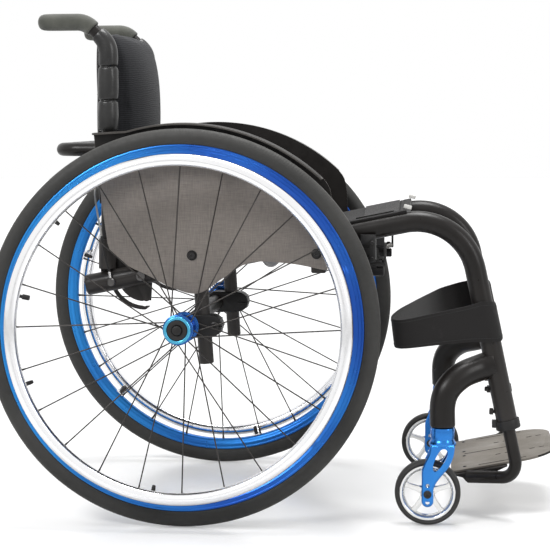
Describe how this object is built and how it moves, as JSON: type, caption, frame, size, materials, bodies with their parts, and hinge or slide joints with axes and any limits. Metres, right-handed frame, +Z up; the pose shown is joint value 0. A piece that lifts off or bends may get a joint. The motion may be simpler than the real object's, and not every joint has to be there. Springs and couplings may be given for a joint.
{
  "type": "active wheelchair",
  "caption": "Rigid-frame active wheelchair with cambered quick-release wheels, forward-folding back, casters, scissor wheel locks, calf strap and telescopic footrest.",
  "frame": {"origin": "on the floor under the middle of the chair's box", "axes": "+Z up, +X to the chair's front, -Y to its right side"},
  "size_m": [0.8822, 0.581, 0.7652],
  "materials": {
    "frame": "satin black powder coat",
    "plastic": "black",
    "steel": "dark satin",
    "handrim": "polished",
    "rim": "blue anodised, with black spokes",
    "blue": "blue anodised",
    "tyre": "grey-black rubber",
    "guard": "woven carbon look, satin",
    "plate": "grey grip coat",
    "grip": "foam, dull",
    "vinyl": "black vinyl",
    "fabric": "black webbing cloth",
    "cushion": "charcoal ribbed cloth"
  },
  "bodies": {
    "root": {"side_tube_r": "frame", "side_tube_l": "frame", "axle_post_r": "frame", "axle_post_l": "frame", "axle_clamp_r": "plastic", "axle_clamp_l": "plastic", "caster_arm_r": "frame", "caster_arm_l": "frame", "footrest_collar_r": "plastic", "footrest_collar_l": "plastic", "side_guard_r": "guard", "side_guard_l": "guard", "brake_bracket_r": "plastic", "brake_bracket_l": "plastic", "hinge_pin_r": "steel", "hinge_pin_l": "steel", "cross_tube": "frame", "camber_tube": "frame", "seat_sling": "fabric", "calf_strap": "fabric"},
    "back": {"back_cane_r": "frame", "back_cane_l": "frame", "push_grip_r": "grip", "push_grip_l": "grip", "post_sleeve_r": "vinyl", "post_sleeve_l": "vinyl", "hinge_plate_r": "frame", "hinge_plate_l": "frame", "rigidizer_bar": "frame", "back_upholstery": "fabric", "back_cushion": "cushion", "release_cord": "steel"},
    "footrest": {"footrest_tube_r": "frame", "footrest_tube_l": "frame", "footplate": "plate"},
    "latch_r": {"latch_pin_r": "steel"},
    "axle_r": {"quick_axle_r": "steel"},
    "button_r": {"axle_button_r": "plastic"},
    "wheel_r": {"tyre_r": "tyre", "rim_r": "rim", "hub_r": "blue", "handrim_r": "handrim"},
    "caster_r": {"caster_fork_r": "blue"},
    "caster_wheel_r": {"caster_tyre_r": "tyre", "caster_rim_r": "handrim"},
    "brake_lever_r": {"brake_lever_r": "plastic"},
    "brake_shoe_r": {"brake_shoe_r": "plastic"},
    "latch_l": {"latch_pin_l": "steel"},
    "axle_l": {"quick_axle_l": "steel"},
    "button_l": {"axle_button_l": "plastic"},
    "wheel_l": {"tyre_l": "tyre", "rim_l": "rim", "hub_l": "blue", "handrim_l": "handrim"},
    "caster_l": {"caster_fork_l": "blue"},
    "caster_wheel_l": {"caster_tyre_l": "tyre", "caster_rim_l": "handrim"},
    "brake_lever_l": {"brake_lever_l": "plastic"},
    "brake_shoe_l": {"brake_shoe_l": "plastic"}
  },
  "joints": [
    {"name": "back_fold", "type": "hinge", "parent": "root", "child": "back", "pos_m": [-0.21323, 0, 0.37], "axis": [0, 1, 0], "range_deg": [0, 76], "deforming": ["back_cushion", "release_cord"]},
    {"name": "latch_slide_r", "type": "slide", "parent": "root", "child": "latch_r", "axis": [0, -1, 0], "range_m": [0, 0.0075], "stiffness_N_per_m": 300, "springref_m": -0.003},
    {"name": "axle_pull_r", "type": "slide", "parent": "root", "child": "axle_r", "axis": [0, -0.9992, 0.0407], "range_m": [0, 0.085]},
    {"name": "axle_press_r", "type": "slide", "parent": "axle_r", "child": "button_r", "axis": [0, 0.9992, -0.0407], "range_m": [0, 0.004], "stiffness_N_per_m": 500, "springref_m": -0.002},
    {"name": "wheel_spin_r", "type": "hinge", "parent": "axle_r", "child": "wheel_r", "pos_m": [-0.14423, -0.231, 0.29644], "axis": [0, 0.9992, -0.0407], "continuous": true},
    {"name": "caster_swivel_r", "type": "hinge", "parent": "root", "child": "caster_r", "pos_m": [0.24377, -0.2, 0.0492], "axis": [0, 0, 1], "continuous": true},
    {"name": "caster_spin_r", "type": "hinge", "parent": "caster_r", "child": "caster_wheel_r", "pos_m": [0.22177, -0.2, 0.0492], "axis": [0, 1, 0], "continuous": true},
    {"name": "brake_turn_r", "type": "hinge", "parent": "root", "child": "brake_lever_r", "pos_m": [0.14997, -0.178, 0.392], "axis": [0, 0, 1], "range_deg": [0, 90]},
    {"name": "brake_reach_r", "type": "hinge", "parent": "brake_lever_r", "child": "brake_shoe_r", "pos_m": [0.12897, -0.178, 0.392], "axis": [0, 0, 1], "range_deg": [-180, 0]},
    {"name": "latch_slide_l", "type": "slide", "parent": "root", "child": "latch_l", "axis": [0, 1, 0], "range_m": [0, 0.0075], "stiffness_N_per_m": 300, "springref_m": -0.003},
    {"name": "axle_pull_l", "type": "slide", "parent": "root", "child": "axle_l", "axis": [0, 0.9992, 0.0407], "range_m": [0, 0.085]},
    {"name": "axle_press_l", "type": "slide", "parent": "axle_l", "child": "button_l", "axis": [0, -0.9992, -0.0407], "range_m": [0, 0.004], "stiffness_N_per_m": 500, "springref_m": -0.002},
    {"name": "wheel_spin_l", "type": "hinge", "parent": "axle_l", "child": "wheel_l", "pos_m": [-0.14423, 0.231, 0.29644], "axis": [0, 0.9992, 0.0407], "continuous": true},
    {"name": "caster_swivel_l", "type": "hinge", "parent": "root", "child": "caster_l", "pos_m": [0.24377, 0.2, 0.0492], "axis": [0, 0, 1], "continuous": true},
    {"name": "caster_spin_l", "type": "hinge", "parent": "caster_l", "child": "caster_wheel_l", "pos_m": [0.22177, 0.2, 0.0492], "axis": [0, 1, 0], "continuous": true},
    {"name": "brake_turn_l", "type": "hinge", "parent": "root", "child": "brake_lever_l", "pos_m": [0.14997, 0.178, 0.392], "axis": [0, 0, -1], "range_deg": [0, 90]},
    {"name": "brake_reach_l", "type": "hinge", "parent": "brake_lever_l", "child": "brake_shoe_l", "pos_m": [0.12897, 0.178, 0.392], "axis": [0, 0, -1], "range_deg": [-180, 0]},
    {"name": "footrest_slide", "type": "slide", "parent": "root", "child": "footrest", "axis": [0.2082, 0, -0.9781], "range_m": [-0.03, 0.02]}
  ],
  "couplings": [
    {"joint": "brake_reach_r", "follows": "brake_turn_r", "ratio": -2},
    {"joint": "brake_reach_l", "follows": "brake_turn_l", "ratio": -2},
    {"joint": "latch_slide_l", "follows": "latch_slide_r", "ratio": 1}
  ]
}
